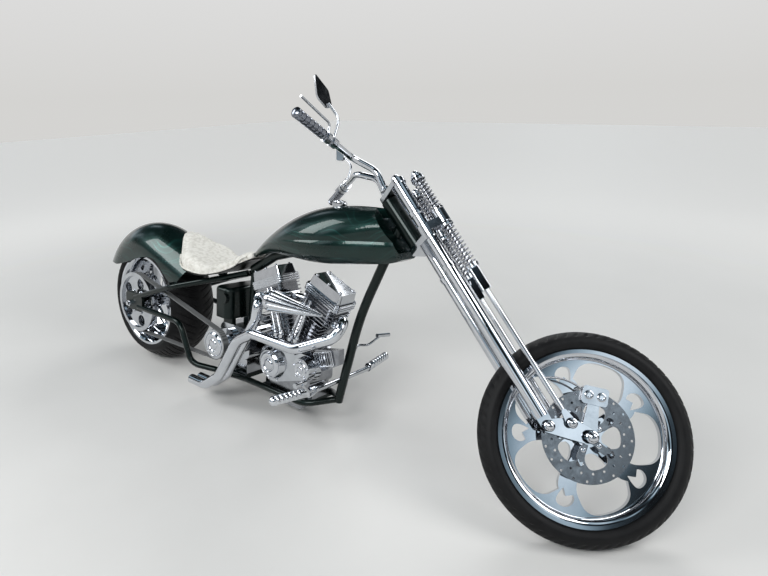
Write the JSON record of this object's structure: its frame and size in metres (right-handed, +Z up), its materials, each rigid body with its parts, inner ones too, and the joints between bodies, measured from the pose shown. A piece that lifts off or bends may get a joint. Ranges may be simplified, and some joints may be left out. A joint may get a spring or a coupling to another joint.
{
  "type": "chopper motorcycle",
  "caption": "Rigid-frame chopper motorcycle with a springer fork, V-twin engine and belt drive, parked leaning on its side stand.",
  "frame": {"origin": "centre of the bounding box on the floor", "axes": "+X forward along the motorcycle, +Y to the rider's left, +Z up; it leans to its left on the side stand"},
  "size_m": [2.9651, 0.6978, 1.4359],
  "materials": {
    "tyre_rubber": "matte",
    "wheel_chrome": "polished",
    "polished": "polished",
    "disc_steel": "satin",
    "chrome": "polished",
    "belt_rubber": "matte",
    "frame_paint": "gloss",
    "body_paint": "gloss",
    "leather": "satin",
    "pan_black": "satin",
    "engine_silver": "satin",
    "hose_braid": "satin"
  },
  "bodies": {
    "chassis": {"rear_axle": "chrome", "rear_caliper": "polished", "drive_belt": "belt_rubber", "lower_rails": "frame_paint", "upper_rails": "frame_paint", "engine_mounts": "frame_paint", "downtube": "frame_paint", "backbone": "frame_paint", "fuel_tank": "body_paint", "fuel_cap": "polished", "rear_fender": "body_paint", "seat_pad": "leather", "seat_pan": "pan_black", "oil_tank": "polished", "crankcase": "engine_silver", "cam_cover": "polished", "cylinders": "engine_silver", "cylinder_heads": "engine_silver", "rocker_boxes": "polished", "pushrod_tubes": "chrome", "air_intake": "chrome", "gearbox": "polished", "primary_cover": "polished", "exhaust_pipes": "chrome", "foot_controls": "polished"},
    "rear_wheel_set": {"rear_tyre": "tyre_rubber", "rear_wheel": "wheel_chrome", "rear_pulley": "polished", "rear_brake_disc": "disc_steel"},
    "steering": {"top_tree": "polished", "lower_tree": "polished", "rear_fork_legs": "chrome", "front_fork_legs": "chrome", "rockers": "chrome", "fork_springs": "chrome", "handlebar": "chrome", "grips": "chrome", "hand_controls": "polished", "front_axle": "chrome", "front_caliper": "polished", "brake_hose": "hose_braid"},
    "front_wheel_set": {"front_tyre": "tyre_rubber", "front_wheel": "wheel_chrome", "front_brake_disc": "disc_steel"},
    "stand": {"side_stand": "chrome"}
  },
  "joints": [
    {"name": "steering_joint", "type": "hinge", "parent": "chassis", "child": "steering", "pos_m": [0.41421, 0.11306, 0.94987], "axis": [-0.6936, 0.1127, 0.7115], "range_deg": [-78, 0]},
    {"name": "rear_wheel_joint", "type": "hinge", "parent": "chassis", "child": "rear_wheel_set", "pos_m": [-1.10669, 0.01453, 0.32778], "axis": [0, 0.9877, -0.1564], "continuous": true},
    {"name": "front_wheel_joint", "type": "hinge", "parent": "steering", "child": "front_wheel_set", "pos_m": [1.16947, 0.08598, 0.29618], "axis": [-0.4533, 0.6993, -0.5527], "continuous": true},
    {"name": "side_stand_joint", "type": "hinge", "parent": "chassis", "child": "stand", "pos_m": [-0.20201, 0.11725, 0.08139], "axis": [0.0637, 0.5009, 0.8632], "range_deg": [0, 101.7]}
  ]
}
